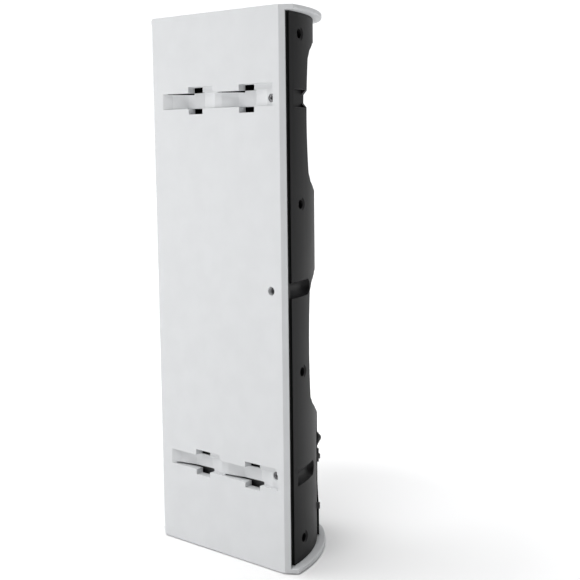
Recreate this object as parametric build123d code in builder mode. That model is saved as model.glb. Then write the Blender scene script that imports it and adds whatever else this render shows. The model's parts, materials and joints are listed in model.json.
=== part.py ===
from build123d import *
from math import asin, cos, degrees, radians, sin, sqrt
import os

# Tower game console with a docked controller. Millimetres, +Z up, front towards -Y.
# The origin is the middle of the footprint, on the surface that the feet stand on.
# Depths are counted from the flat back face towards the front.

# ---------------------------------------------------------------- driving dimensions
HEIGHT = 390.0
FOOT_RISE = 0.6            # feet lift the bottom end plate by this much
LIP_T = 3.4                # end plate thickness
FLAT_HALF = 63.0           # half width of the flat back
CHAMFER_X = 8.0            # chamfer of the end plates, sideways and in depth
CHAMFER_D = 6.0
SIDE_R = 130.0             # large side arc of the end plates
SIDE_START = 10.0          # angle of the side arc where it leaves the chamfer
SIDE_END = 50.0            # angle where the side arc runs into the nose arc
PANEL_T = 3.0              # back panel thickness
PANEL_EDGE = 3.3           # the back panel's own narrower chamfer
BODY_INSET = 6.3           # black body stands in from the end plates
STEP_IN = 1.5              # rear frame stands in from the black body
WALL = 2.4
FIT = 0.3                  # clearance between parts that come apart

BODY_D = 9.0               # depth where the front shell starts
BODY_Z0 = FOOT_RISE + LIP_T + FIT
BODY_Z1 = HEIGHT - LIP_T - FIT

UPPER_SCOOP_Z = 317.0      # middles of the two front scoops
LOWER_SCOOP_Z = 155.0
UPPER_FLOOR_D = 36.4       # depths of the scoop floors at their middle
LOWER_FLOOR_D = 37.4
SCOOP_SIDE = 40.2          # depth where a scoop floor meets its end walls
SCOOP_HALF = 40.0
END_WALL = ((5.0, 6.0), (18.0, 12.5), (62.5, 16.0))      # steps forwards and outwards
BLOCK_WALL = ((5.0, 5.8), (16.0, 12.6), (25.0, 19.3), (62.5, 20.0))

ROW_TOP_Z = 329.7          # hanging pocket rows on the back
ROW_BOTTOM_Z = 64.7
POCKET_X = (18.6, -32.4)   # middles of the pocket windows
WINDOW_W = 14.4
WINDOW_TRIM = 2.3          # the windows inside a recess stop short by this much
WINDOW_H = 3.9
POCKET_BLOCK_D = 6.5
NOTCH_REACH = (0.7, -56.5) # the notches above the band end here
HOLE_X = -53.3             # column of back screw holes
HOLE_Z = (68.6, 199.0, 329.4)
HOLE_R = 2.95
HOLE_SEAT = 5.2            # depth of the shoulder under the back screw heads
CHANNEL_R = 5.7            # finger channels along the sides
THICK_WALL = 7.0           # side wall behind the channels
THICK_BANDS = ((56.0, 75.0), (190.5, 207.5), (320.5, 338.5))

SIDE_SCREW_D = 23.3        # side screw recesses
SIDE_SCREW_Z = (20.0, 140.3, 257.4, 372.4)
SIDE_RECESS_R = 3.25

PAD_Z0 = 10.0              # the docked controller fills this stretch of the nose
PAD_Z1 = 95.0
PAD_D = 68.6               # seam between the body and the controller
PAD_INSET = 5.6            # the controller stands a little proud of the body
FLARE_INSET = 4.7          # and flares out towards the bottom
FLARE_Z = (25.0, 45.0)
WELL_X = 29.0              # dock well behind the controller
WELL_D = 43.0
WELL_Z0 = 38.0
WELL_Z1 = 91.0
PAD_WALL = 2.0
CONTROL_ANGLE = 31.0       # controls sit on the nose arc, turned this far from straight ahead
NUB_Z = 74.2
NUB_R = 6.2
DPAD_Z = 60.6
DPAD_R = 5.5
CLUSTER_Z = 73.0
CLUSTER_PITCH = 8.4
ACTION_R = 3.8
TRIGGER_Z = 84.3           # trigger hinge, on the back of the controller
TRIGGER_D = 49.5
FAN_Z = 236.0
POWER_Z = 236.0
PORTS = {                  # height, length upwards, width in depth
    "video_socket": (168.0, 16.5, 6.2),
    "usb_socket": (153.0, 10.0, 4.2),
    "power_socket": (184.0, 9.4, 9.4),
}
SWITCH_D = 63.0            # slide switch on the flank in front
SWITCH_Z = 29.2
SWITCH_TRAVEL = 4.4
DPAD_PIVOT = -6.8          # the direction pad rocks about a point this far under the surface

# ---------------------------------------------------------------- worked out from them
SIDE_CX = FLAT_HALF + CHAMFER_X - SIDE_R * cos(radians(SIDE_START))
SIDE_CD = CHAMFER_D - SIDE_R * sin(radians(SIDE_START))
NOSE_R = (SIDE_CX + SIDE_R * cos(radians(SIDE_END))) / cos(radians(SIDE_END))
NOSE_CD = SIDE_CD + (SIDE_R - NOSE_R) * sin(radians(SIDE_END))
DEPTH = NOSE_CD + NOSE_R
BACK = DEPTH / 2
BODY_NOSE_R = NOSE_R - BODY_INSET
BODY_NOSE_D = DEPTH - BODY_INSET
PAD_NOSE_R = NOSE_R - PAD_INSET

os.makedirs("parts", exist_ok=True)


def save(builder, name):
    """Labels a finished piece and writes its STEP file."""
    builder.part.label = name
    export_step(builder.part, f"parts/{name}.step")


def at(x, depth, z):
    return (x, BACK - depth, z)


def arc_point(inset, angle, sign=1):
    """Point of the side arc, moved inwards by inset, at an angle in degrees."""
    r = SIDE_R - inset
    a = radians(angle)
    return (sign * (SIDE_CX + r * cos(a)), BACK - SIDE_CD - r * sin(a))


def side_angle(inset, depth):
    return degrees(asin((depth - SIDE_CD) / (SIDE_R - inset)))


def half_width(inset, depth):
    """Half width of the plan outline at a depth, on the side arc or the nose arc."""
    if side_angle(inset, depth) <= SIDE_END:
        return arc_point(inset, side_angle(inset, depth))[0]
    return sqrt((NOSE_R - inset) ** 2 - (depth - NOSE_CD) ** 2)


def bow(inset, depth0):
    """Side, nose and side arcs of the plan outline, from depth0 round to depth0."""
    start = side_angle(inset, depth0)
    middle = (start + SIDE_END) / 2
    ends = [arc_point(inset, a) for a in (start, middle, SIDE_END)]
    mirrored = [arc_point(inset, a, -1) for a in (start, middle, SIDE_END)]
    ThreePointArc(ends[0], ends[1], ends[2])
    ThreePointArc(ends[2], (0, inset - BACK), mirrored[2])
    ThreePointArc(mirrored[2], mirrored[1], mirrored[0])


def outline(inset, depth0, z):
    """Bowed plan outline, cut off flat at depth0, as a sketch at a height."""
    with BuildSketch(Plane.XY.offset(z)) as plan:
        with BuildLine():
            bow(inset, depth0)
            edge = half_width(inset, depth0)
            Line((-edge, BACK - depth0), (edge, BACK - depth0))
        make_face()
    return plan.sketch


def prism(inset, depth0, z0, z1, mode=Mode.ADD):
    """Upright solid with the bowed plan outline, cut off flat at depth0."""
    extrude(outline(inset, depth0, z0), amount=z1 - z0, mode=mode)


def flared(depth0, z0, z1):
    """The controller's outside: upright, then widening downwards, then upright again."""
    low, high = FLARE_Z
    prism(PAD_INSET, depth0, high, z1)
    loft([outline(FLARE_INSET, depth0, low), outline(PAD_INSET, depth0, high)], ruled=True)
    prism(FLARE_INSET, depth0, z0, low)


def block(x0, x1, d0, d1, z0, z1, mode=Mode.ADD):
    """Box between two widths, two depths and two heights."""
    with Locations(at((x0 + x1) / 2, (d0 + d1) / 2, (z0 + z1) / 2)):
        Box(abs(x1 - x0), abs(d1 - d0), abs(z1 - z0), mode=mode)


def plan_cut(corners, z0, z1):
    """Cut with an upright wall along each line between corners, given as width and depth."""
    with BuildSketch(Plane.XY.offset(z0)) as plan:
        with BuildLine():
            Polyline(*[(x, BACK - depth) for x, depth in corners], close=True)
        make_face()
    extrude(plan.sketch, amount=z1 - z0, mode=Mode.SUBTRACT)


def rod_y(x, z, radius, d0, d1, mode=Mode.ADD):
    """Round bar or hole along the depth."""
    with Locations(Location(at(x, (d0 + d1) / 2, z), (90, 0, 0))):
        Cylinder(radius, d1 - d0, mode=mode)


def rod_x(x0, x1, depth, z, radius, mode=Mode.ADD):
    """Round bar or hole along the width."""
    with Locations(Location(at((x0 + x1) / 2, depth, z), (0, 90, 0))):
        Cylinder(radius, abs(x1 - x0), mode=mode)


def rod_z(x, depth, z0, z1, radius, mode=Mode.ADD):
    with Locations(at(x, depth, (z0 + z1) / 2)):
        Cylinder(radius, z1 - z0, mode=mode)


def floor_radius(floor):
    return (SCOOP_HALF**2 + (SCOOP_SIDE - floor) ** 2) / (2 * (SCOOP_SIDE - floor))


def floor_depth(floor, rise, behind=0.0):
    """Depth of a scoop floor, or of a sheet behind it, at a height from the floor's middle."""
    r = floor_radius(floor)
    return floor + r - sqrt((r + behind) ** 2 - rise**2)


def scoop(middle, floor, low_half, low_wall, grow=0.0, mode=Mode.SUBTRACT):
    """Front scoop: a shallow curved floor between two end walls that open towards the front."""
    top = middle + SCOOP_HALF
    low = middle - low_half
    low_depth = floor_depth(floor, low_half)
    wall = [(BACK - SCOOP_SIDE - ahead, top + rise) for ahead, rise in END_WALL]
    foot = [(BACK - SCOOP_SIDE - ahead, low - drop) for ahead, drop in low_wall]
    with BuildSketch(Plane.YZ) as profile:
        with BuildLine():
            Polyline((BACK - SCOOP_SIDE, top), *wall, *reversed(foot), (BACK - low_depth, low))
            ThreePointArc((BACK - low_depth, low), (BACK - floor, middle), (BACK - SCOOP_SIDE, top))
        make_face()
        if grow:
            offset(amount=grow, kind=Kind.INTERSECTION)
    extrude(profile.sketch, amount=FLAT_HALF + 10, both=True, mode=mode)


def both_scoops(grow=0.0):
    scoop(UPPER_SCOOP_Z, UPPER_FLOOR_D, SCOOP_HALF - 1.3, END_WALL, grow)
    scoop(LOWER_SCOOP_Z, LOWER_FLOOR_D, SCOOP_HALF - 3.5, BLOCK_WALL, grow)


def nose_plane(angle, z, radius=PAD_NOSE_R):
    """Plane touching the controller's nose at a turned angle; Z points outwards, X points up."""
    a = radians(angle)
    spot = (radius * sin(a), BACK - NOSE_CD - radius * cos(a), z)
    return Plane(origin=spot, x_dir=(0, 0, 1), z_dir=(sin(a), -cos(a), 0))


def disc(plane, up, across, radius, low, high, mode=Mode.ADD):
    """Cylinder standing on a plane between two heights along its normal."""
    with BuildSketch(plane.offset(low)) as spot:
        with Locations((up, across)):
            Circle(radius)
    extrude(spot.sketch, amount=high - low, mode=mode)


def slab(plane, up, across, size_up, size_across, low, high, mode=Mode.ADD):
    """Rectangular block standing on a plane between two heights along its normal."""
    with BuildSketch(plane.offset(low)) as spot:
        with Locations((up, across)):
            Rectangle(size_up, size_across)
    extrude(spot.sketch, amount=high - low, mode=mode)


def pin(plane, turn, radius, length, mode=Mode.ADD):
    """Round pin lying in a plane through its origin, across it or, turned by 90 degrees, up it."""
    with Locations(plane.location * Location((0, 0, 0), (90 - turn, turn, 0))):
        Cylinder(radius, length, mode=mode)


def side_normal(side, depth):
    a = radians(side_angle(BODY_INSET, depth))
    return (side * cos(a), -sin(a), 0)


def side_plane(side, depth, z):
    """Plane touching the body's side arc; its Z points outwards and its X points up."""
    spot = (side * half_width(BODY_INSET, depth), BACK - depth, z)
    return Plane(origin=spot, x_dir=(0, 0, 1), z_dir=side_normal(side, depth))


def forward_plane(side, depth, z, slope_depth):
    """Plane across the body's side; its Z runs forwards along the flank, its X points up."""
    nx, ny, _ = side_normal(side, slope_depth)
    spot = (side * half_width(BODY_INSET, depth), BACK - depth, z)
    return Plane(origin=spot, x_dir=(0, 0, 1), z_dir=(side * ny, -side * nx, 0))


def side_groove(side, z, proud, d0, d1):
    """Round channel of even depth along the body's side arc, with a ball-shaped front end."""
    r = SIDE_R - BODY_INSET + proud
    start = radians(side_angle(BODY_INSET, d0))
    stop = radians(side_angle(BODY_INSET, d1))
    centre = (side * SIDE_CX, BACK - SIDE_CD, z)
    radial = (side * cos(start), -sin(start), 0)
    across = (-sin(start), -side * cos(start), 0)
    with BuildSketch(Plane(origin=centre, x_dir=radial, z_dir=across)) as round_cut:
        with Locations((r, 0)):
            Circle(CHANNEL_R)
    turn = degrees(stop - start)
    revolve(round_cut.sketch, axis=Axis(centre, (0, 0, -side)), revolution_arc=turn, mode=Mode.SUBTRACT)
    with Locations((side * (SIDE_CX + r * cos(stop)), BACK - SIDE_CD - r * sin(stop), z)):
        Sphere(CHANNEL_R, mode=Mode.SUBTRACT)


def scoop_sheet(middle, floor, half, x_half, near, far):
    """Curved sheet parallel to a scoop floor, between two distances behind it."""
    ends = [BACK - floor_depth(floor, half, t) for t in (near, far)]
    with BuildSketch(Plane.YZ) as profile:
        with BuildLine():
            ThreePointArc((ends[0], middle - half), (BACK - floor + near, middle), (ends[0], middle + half))
            Line((ends[0], middle + half), (ends[1], middle + half))
            ThreePointArc((ends[1], middle + half), (BACK - floor + far, middle), (ends[1], middle - half))
            Line((ends[1], middle - half), (ends[0], middle - half))
        make_face()
    extrude(profile.sketch, amount=x_half, both=True)


def nose_sheet(r0, r1, turn, z0, z1, middle=0.0):
    """Curved sheet parallel to the nose arc, reaching turn degrees to each side of its middle."""
    def spot(r, angle):
        a = radians(middle + angle)
        return (r * sin(a), BACK - NOSE_CD - r * cos(a))

    with BuildSketch(Plane.XY.offset(z0)) as profile:
        with BuildLine():
            ThreePointArc(spot(r0, -turn), spot(r0, 0), spot(r0, turn))
            Line(spot(r0, turn), spot(r1, turn))
            ThreePointArc(spot(r1, turn), spot(r1, 0), spot(r1, -turn))
            Line(spot(r1, -turn), spot(r0, -turn))
        make_face()
    extrude(profile.sketch, amount=z1 - z0)


# ---------------------------------------------------------------- white tray
LIP_Z = ((FOOT_RISE, FOOT_RISE + LIP_T), (HEIGHT - LIP_T, HEIGHT))
ROWS = ((ROW_TOP_Z, 1), (ROW_BOTTOM_Z, -1))
RECESS_D = 2.8             # shallow band joining the pockets
RECESS_LOW = 5.5           # the band reaches this far below and above its middle
RECESS_HIGH = 5.6
POCKET_D = 5.2             # deeper floor under each window
SLIT_H = {1: (1.25, 0.4), -1: (1.9, 1.2)}     # slit at the window and at its far end, per row
FOOT_X = 48.0
FOOT_D = (16.0, 56.0)
FOOT_R = 7.0

with BuildPart() as back_tray:
    for z0, z1 in LIP_Z:
        with BuildSketch(Plane.XY.offset(z0)):
            with BuildLine():
                bow(0, CHAMFER_D)
                edge = FLAT_HALF + CHAMFER_X
                Polyline(
                    (-edge, BACK - CHAMFER_D),
                    (-FLAT_HALF, BACK),
                    (FLAT_HALF, BACK),
                    (edge, BACK - CHAMFER_D),
                )
            make_face()
        extrude(amount=z1 - z0)
    rims = back_tray.edges().filter_by(Plane.XY)
    fillet([e for e in rims if e.center().Y < BACK - 0.5], radius=0.8)
    with BuildSketch(Plane.XY.offset(LIP_Z[0][1] - 0.5)):
        with BuildLine():
            edge = FLAT_HALF + PANEL_EDGE
            Polyline(
                (-FLAT_HALF, BACK),
                (-edge, BACK - 2.5),
                (-edge, BACK - PANEL_T),
                (edge, BACK - PANEL_T),
                (edge, BACK - 2.5),
                (FLAT_HALF, BACK),
                close=True,
            )
        make_face()
    extrude(amount=LIP_Z[1][0] - LIP_Z[0][1] + 1.0)
    # blocks behind the panel that hold the hanging pockets, and the boss of the middle screw
    for row, _ in ROWS:
        block(-59.5, 56.5, PANEL_T - 0.5, POCKET_BLOCK_D, row - 12.5, row + 12.5)
    rod_y(HOLE_X, HOLE_Z[1], 5.5, PANEL_T - 0.5, POCKET_BLOCK_D)
    for row, outer in ROWS:
        # shallow band across the back that rises gently at one end, and notches above it
        band = ((-57.2, -1.0), (-57.2, RECESS_D), (45.6, RECESS_D), (53.0, 0.0), (53.0, -1.0))
        plan_cut(band, row - RECESS_LOW, row + RECESS_HIGH)
        for x, reach in zip(POCKET_X, NOTCH_REACH):
            block(reach, x + WINDOW_W / 2, -1, RECESS_D, row + 3.8, row + 9.7, Mode.SUBTRACT)
        for x in POCKET_X:
            # deeper pocket with a long ramp on one side and a short one on the other
            ramps = ((x + 27.0, RECESS_D), (x + 12.5, POCKET_D), (x - 4.5, POCKET_D), (x - 17.0, RECESS_D))
            plan_cut(((x + 27.0, 0.0), *ramps, (x - 17.0, 0.0)), row - RECESS_LOW, row + RECESS_HIGH)
            # windows right through, above and below the band
            for z, trim in (
                (row + RECESS_HIGH + WINDOW_H / 2 - 0.1, WINDOW_TRIM),
                (row - RECESS_LOW - WINDOW_H / 2, 0.0),
            ):
                near_x = x - WINDOW_W / 2 + trim
                block(near_x, x + WINDOW_W / 2, -1, 20, z - WINDOW_H / 2, z + WINDOW_H / 2, Mode.SUBTRACT)
            # narrow slit beside the outer edge of the band, growing towards the window
            reach = x + WINDOW_W / 2 - 1 if outer > 0 else x - WINDOW_W / 2
            near = row + (RECESS_HIGH if outer > 0 else -RECESS_LOW)
            wide, narrow = SLIT_H[outer]
            with BuildSketch(Plane.XZ.offset(-BACK)):
                with BuildLine():
                    Polyline(
                        (reach, near),
                        (x + WINDOW_W / 2 + 23.5, near),
                        (x + WINDOW_W / 2 + 23.5, near - outer * narrow),
                        (reach, near - outer * wide),
                        close=True,
                    )
                make_face()
            extrude(amount=20, mode=Mode.SUBTRACT)
    for z in HOLE_Z:
        rod_y(HOLE_X, z, HOLE_R, -1, HOLE_SEAT, Mode.SUBTRACT)
        rod_y(HOLE_X, z, 1.6, -1, 20, Mode.SUBTRACT)
    # shallow seats for the feet
    for x in (-FOOT_X, FOOT_X):
        for d in FOOT_D:
            x_foot = x if d < 30 else x * 0.55
            rod_z(x_foot, d, 0, FOOT_RISE + 0.8, FOOT_R + 0.2, Mode.SUBTRACT)
save(back_tray, "back_tray")

with BuildPart() as feet:
    for x in (-FOOT_X, FOOT_X):
        for d in FOOT_D:
            x_foot = x if d < 30 else x * 0.55
            rod_z(x_foot, d, 0, FOOT_RISE + 0.8, FOOT_R)
    fillet(feet.edges().group_by(Axis.Z)[0], radius=0.4)
save(feet, "feet")

# ---------------------------------------------------------------- rear frame
FRAME_D0 = PANEL_T + 0.1
LUG_X0, LUG_X1 = 42.0, 50.0
BOARD_SCREWS = [(x, z) for x in (-46.0, 46.0) for z in (103.0, 283.0)]

with BuildPart() as rear_frame:
    prism(BODY_INSET + STEP_IN, FRAME_D0, BODY_Z0, BODY_Z1)
    block(-80, 80, BODY_D, 100, 0, HEIGHT, Mode.SUBTRACT)
    block(-60.0, 60.0, 0, 20, BODY_Z0 + 4, BODY_Z1 - 4, Mode.SUBTRACT)
    # cross bars with pads for the main board
    for z in (50.0, 96.0, 292.0):
        block(-61.0, 61.0, 6.7, BODY_D, z - 4, z + 4)
    for z in (104.0, 284.0):
        for x in (-46.0, 46.0):
            block(x - 4, x + 4, 6.7, 11.9, z - 6, z + 4)
    # strap that takes the three back screws
    block(-60.0, -45.0, 6.7, BODY_D, BODY_Z0 + 2, BODY_Z1 - 2)
    # lugs that the side screws bite into
    for side in (-1, 1):
        for z in SIDE_SCREW_Z:
            block(side * LUG_X0, side * LUG_X1, 6.7, SIDE_SCREW_D + 6, z - 6, z + 6)
            block(side * LUG_X0, side * 61.0, 6.7, BODY_D, z - 6, z + 6)
            rod_x(side * (LUG_X0 + 1), side * 60.0, SIDE_SCREW_D, z, 1.4, Mode.SUBTRACT)
    for z in HOLE_Z:
        rod_y(HOLE_X, z, 1.4, 0, 20, Mode.SUBTRACT)
    for x, z in BOARD_SCREWS:
        rod_y(x, z, 1.4, BODY_D - 1.2, 20, Mode.SUBTRACT)
save(rear_frame, "rear_frame")

# ---------------------------------------------------------------- front shell
BOSS_X = 50.3
NOTCH_Z = 329.4
GRILLE_X = 43.0
GRILLE_HALF = 33.0
BOARD_D = 12.0
BOARD_FRONT = 13.6
MAGNET_X = 19.0
MAGNET_Z = 24.0

with BuildPart() as cavity:
    prism(BODY_INSET + WALL, BODY_D - 1, BODY_Z0 + WALL, BODY_Z1 - WALL)
    # the walls are thicker where channels run along the sides
    for low, high in THICK_BANDS:
        block(-80, 80, 0, 100, low, high, Mode.SUBTRACT)
        prism(BODY_INSET + THICK_WALL, BODY_D - 1, low, high)
    both_scoops(WALL)

with BuildPart() as front_shell:
    prism(BODY_INSET, BODY_D, BODY_Z0, BODY_Z1)
    add(cavity.part, mode=Mode.SUBTRACT)
    # walls round the controller bay and the well behind it
    prism(BODY_INSET, PAD_D - 2, BODY_Z0, PAD_Z0)
    prism(FLARE_INSET, PAD_D, BODY_Z0, PAD_Z0)
    prism(BODY_INSET, PAD_D - 2, PAD_Z1, PAD_Z1 + 3)
    prism(PAD_INSET, PAD_D, PAD_Z1, PAD_Z1 + 6)
    block(-33.0, 33.0, PAD_D - 2, PAD_D, PAD_Z0 - 2, PAD_Z1 + 2)
    block(-WELL_X - 2, WELL_X + 2, WELL_D - 2, PAD_D, WELL_Z0 - 2, WELL_Z1 + 2)
    # bosses behind the side screw recesses
    for side in (-1, 1):
        for z in SIDE_SCREW_Z:
            rod_x(side * BOSS_X, side * 59.0, SIDE_SCREW_D, z, 5.6)
    both_scoops()
    prism(BODY_INSET - 5, PAD_D, PAD_Z0, PAD_Z1, Mode.SUBTRACT)
    block(-WELL_X, WELL_X, WELL_D, PAD_D + 5, WELL_Z0, WELL_Z1, Mode.SUBTRACT)
    for side in (-1, 1):
        for z in SIDE_SCREW_Z:
            rod_x(side * 53.6, side * 75.0, SIDE_SCREW_D, z, SIDE_RECESS_R, Mode.SUBTRACT)
            rod_x(side * 45.0, side * 75.0, SIDE_SCREW_D, z, 1.7, Mode.SUBTRACT)
        # trapezoid notch up to the edge of the upper scoop
        with BuildSketch(forward_plane(side, 14.5, NOTCH_Z, 25.0)):
            with BuildLine():
                Polyline(
                    (-9.6, -side * 3.4),
                    (-2.9, side * 3.0),
                    (2.7, side * 3.0),
                    (9.4, -side * 3.4),
                    close=True,
                )
            make_face()
        extrude(amount=30.0, mode=Mode.SUBTRACT)
        # the notch is square at its rear end
        with BuildSketch(forward_plane(side, 14.5, NOTCH_Z, 25.0)):
            with BuildLine():
                Polyline(
                    (-6.0, -side * 3.4),
                    (-6.0, side * 3.0),
                    (6.0, side * 3.0),
                    (6.0, -side * 3.4),
                    close=True,
                )
            make_face()
        extrude(amount=20.7, mode=Mode.SUBTRACT)
        # round channel from the rear edge, and a closed one on the lower block
        side_groove(side, HOLE_Z[1], 1.2, BODY_D - 5.0, 34.6)
        side_groove(side, ROW_BOTTOM_Z + 0.7, 1.4, 15.0, 42.6)
    # openings for the grilles, the power button, the sockets and the slide switch
    for z in (UPPER_SCOOP_Z, LOWER_SCOOP_Z):
        block(-GRILLE_X, GRILLE_X, 28, 45, z - GRILLE_HALF, z + GRILLE_HALF, Mode.SUBTRACT)
    rod_y(0, POWER_Z, 11.5, BODY_NOSE_D - 1.6, BODY_NOSE_D + 5, Mode.SUBTRACT)
    rod_y(0, POWER_Z, 9.2, BODY_NOSE_D - 10, BODY_NOSE_D + 5, Mode.SUBTRACT)
    for z, length, width in PORTS.values():
        d = BOARD_FRONT + 0.1
        block(54, 75, d - FIT, d + width + FIT, z - length / 2 - FIT, z + length / 2 + FIT, Mode.SUBTRACT)
    flank = side_plane(-1, SWITCH_D, SWITCH_Z)
    slab(flank, -SWITCH_TRAVEL / 2 + 0.2, 0, 10.2, 3.6, -4, 4, Mode.SUBTRACT)
    block(-9.3, 9.3, WELL_D - 3, WELL_D + 1, 49.7, 54.3, Mode.SUBTRACT)
    # posts for the power button's board, and cups for the dock magnets
    for x in (-12.0, 12.0):
        rod_y(x, POWER_Z, 1.8, 72.7, 82.6)
        rod_y(x, POWER_Z, 0.8, 72.0, 80.0, Mode.SUBTRACT)
    for x in (-MAGNET_X, MAGNET_X):
        rod_y(x, MAGNET_Z, 5.4, 62.4, PAD_D - 1.5)
        rod_y(x, MAGNET_Z, 4.2, 60.0, PAD_D - 2, Mode.SUBTRACT)
save(front_shell, "front_shell")

# ---------------------------------------------------------------- grilles in the scoops
with BuildPart() as speaker_grille:
    scoop_sheet(UPPER_SCOOP_Z, UPPER_FLOOR_D, GRILLE_HALF - FIT, GRILLE_X - FIT, 0.5, 2.6)
    scoop_sheet(UPPER_SCOOP_Z, UPPER_FLOOR_D, GRILLE_HALF + 2, GRILLE_X + 2, 2.55, 4.0)
    with BuildSketch(Plane.XZ.offset(UPPER_FLOOR_D - 12 - BACK)):
        with Locations((0, UPPER_SCOOP_Z)):
            with GridLocations(6.4, 6.4, 12, 8):
                Circle(1.4)
        with Locations((0, UPPER_SCOOP_Z)):
            with GridLocations(6.4, 6.4, 11, 7):
                Circle(1.4)
    extrude(amount=20.0, mode=Mode.SUBTRACT)
save(speaker_grille, "speaker_grille")

with BuildPart() as intake_grille:
    scoop_sheet(LOWER_SCOOP_Z, LOWER_FLOOR_D, GRILLE_HALF - FIT, GRILLE_X - FIT, 0.5, 2.6)
    scoop_sheet(LOWER_SCOOP_Z, LOWER_FLOOR_D, GRILLE_HALF + 2, GRILLE_X + 2, 2.55, 4.0)
    with BuildSketch(Plane.XZ.offset(LOWER_FLOOR_D - 12 - BACK)):
        with Locations((0, LOWER_SCOOP_Z)):
            with GridLocations(5.4, 26.0, 14, 2):
                SlotOverall(22.0, 2.4, rotation=90)
    extrude(amount=20.0, mode=Mode.SUBTRACT)
save(intake_grille, "intake_grille")

# ---------------------------------------------------------------- screws of the housing
with BuildPart() as side_screws:
    for side in (-1, 1):
        for z in SIDE_SCREW_Z:
            rod_x(side * 53.65, side * 55.8, SIDE_SCREW_D, z, 2.9)
            rod_x(side * 44.0, side * 53.7, SIDE_SCREW_D, z, 1.25)
            with BuildSketch(Plane.YZ.offset(side * 54.6)):
                with Locations((BACK - SIDE_SCREW_D, z)):
                    Rectangle(3.2, 0.8)
                    Rectangle(0.8, 3.2)
            extrude(amount=side * 3.0, mode=Mode.SUBTRACT)
save(side_screws, "side_screws")

with BuildPart() as back_screws:
    for z in HOLE_Z:
        rod_y(HOLE_X, z, 2.85, HOLE_SEAT - 2.0, HOLE_SEAT - 0.05)
        rod_y(HOLE_X, z, 1.25, HOLE_SEAT - 0.1, BODY_D - 0.2)
        block(HOLE_X - 1.6, HOLE_X + 1.6, 0, HOLE_SEAT - 0.9, z - 0.4, z + 0.4, Mode.SUBTRACT)
        block(HOLE_X - 0.4, HOLE_X + 0.4, 0, HOLE_SEAT - 0.9, z - 1.6, z + 1.6, Mode.SUBTRACT)
save(back_screws, "back_screws")

# ---------------------------------------------------------------- electronics
BOARD_X = 49.0

with BuildPart() as main_board:
    block(-BOARD_X, BOARD_X, BOARD_D, BOARD_FRONT, 99.0, 287.0)
    for side in (-1, 1):
        for z in SIDE_SCREW_Z[1:3]:
            block(side * 41.4, side * 60, 5, 30, z - 6.6, z + 6.6, Mode.SUBTRACT)
    for x, z in BOARD_SCREWS:
        rod_y(x, z, 1.7, 5, 30, Mode.SUBTRACT)
    # inductors beside the processor and a connector for the supply
    with Locations(*[at(x, BOARD_FRONT + 1.4, z) for x in (-38.0, 38.0) for z in (214.0, 224.0, 234.0, 244.0)]):
        Box(6.0, 3.0, 7.0)
    block(-12.0, 12.0, BOARD_FRONT - 0.1, BOARD_FRONT + 7.0, 101.0, 108.0)
save(main_board, "main_board")

with BuildPart() as board_screws:
    for x, z in BOARD_SCREWS:
        rod_y(x, z, 2.6, BOARD_FRONT + 0.05, BOARD_FRONT + 1.9)
        rod_y(x, z, 1.25, BODY_D - 1, BOARD_FRONT + 0.1)
save(board_screws, "board_screws")

with BuildPart() as processor:
    block(-17.5, 17.5, BOARD_FRONT + 0.05, BOARD_FRONT + 1.6, FAN_Z - 17.5, FAN_Z + 17.5)
    block(-11.0, 11.0, BOARD_FRONT + 1.5, BOARD_FRONT + 2.3, FAN_Z - 9.0, FAN_Z + 9.0)
save(processor, "processor")

SINK_D = BOARD_FRONT + 2.35
SINK_END = 46.9
with BuildPart() as heatsink:
    block(-28.0, 28.0, SINK_D, SINK_D + 4, FAN_Z - 24.5, FAN_Z + 24.5)
    for i in range(12):
        x = -27.2 + i * 54.4 / 11
        block(x - 0.8, x + 0.8, SINK_D + 3.5, SINK_END, FAN_Z - 24.5, FAN_Z + 24.5)
    for x in (-21.0, 21.0):
        for z in (FAN_Z - 21.0, FAN_Z + 21.0):
            block(x - 3.2, x + 3.2, SINK_D + 3.5, SINK_END, z - 3.2, z + 3.2)
            rod_y(x, z, 1.3, SINK_END - 12, SINK_END + 5, Mode.SUBTRACT)
save(heatsink, "heatsink")

FAN_D0, FAN_D1 = 47.0, 57.0
with BuildPart() as fan_frame:
    block(-25.0, 25.0, FAN_D0, FAN_D1, FAN_Z - 25.0, FAN_Z + 25.0)
    fillet(fan_frame.edges().filter_by(Axis.Y), radius=3.0)
    rod_y(0, FAN_Z, 23.4, FAN_D0 + 1.6, FAN_D1 + 1, Mode.SUBTRACT)
    rod_y(0, FAN_Z, 22.4, FAN_D0 - 1, FAN_D1 + 1, Mode.SUBTRACT)
    rod_y(0, FAN_Z, 9.0, FAN_D0, FAN_D0 + 1.4)
    for angle in (45, 135):
        with Locations(Location(at(0, FAN_D0 + 0.7, FAN_Z), (90, 0, angle))):
            Box(46.0, 2.4, 1.4)
    rod_y(0, FAN_Z, 1.2, FAN_D0, FAN_D1 - 2.0)
    for x in (-21.0, 21.0):
        for z in (FAN_Z - 21.0, FAN_Z + 21.0):
            rod_y(x, z, 1.6, FAN_D0 - 1, FAN_D1 + 1, Mode.SUBTRACT)
save(fan_frame, "fan_frame")

BLADES = 9
with BuildPart() as fan_rotor:
    rod_y(0, FAN_Z, 9.0, FAN_D0 + 1.8, FAN_D1 - 0.6)
    rod_y(0, FAN_Z, 1.45, 0, FAN_D1 - 1.6, Mode.SUBTRACT)
    for i in range(BLADES):
        spin = Location(at(0, (FAN_D0 + FAN_D1) / 2 + 0.6, FAN_Z), (0, i * 360 / BLADES, 0))
        with Locations(spin * Location((14.9, 0, 0), (38, 0, 0))):
            Box(13.6, 1.1, 9.0)
    with Locations(Location(at(0, (FAN_D0 + FAN_D1) / 2 + 0.6, FAN_Z), (90, 0, 0))):
        Cylinder(21.8, 7.4, mode=Mode.INTERSECT)
save(fan_rotor, "fan_rotor")

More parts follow.
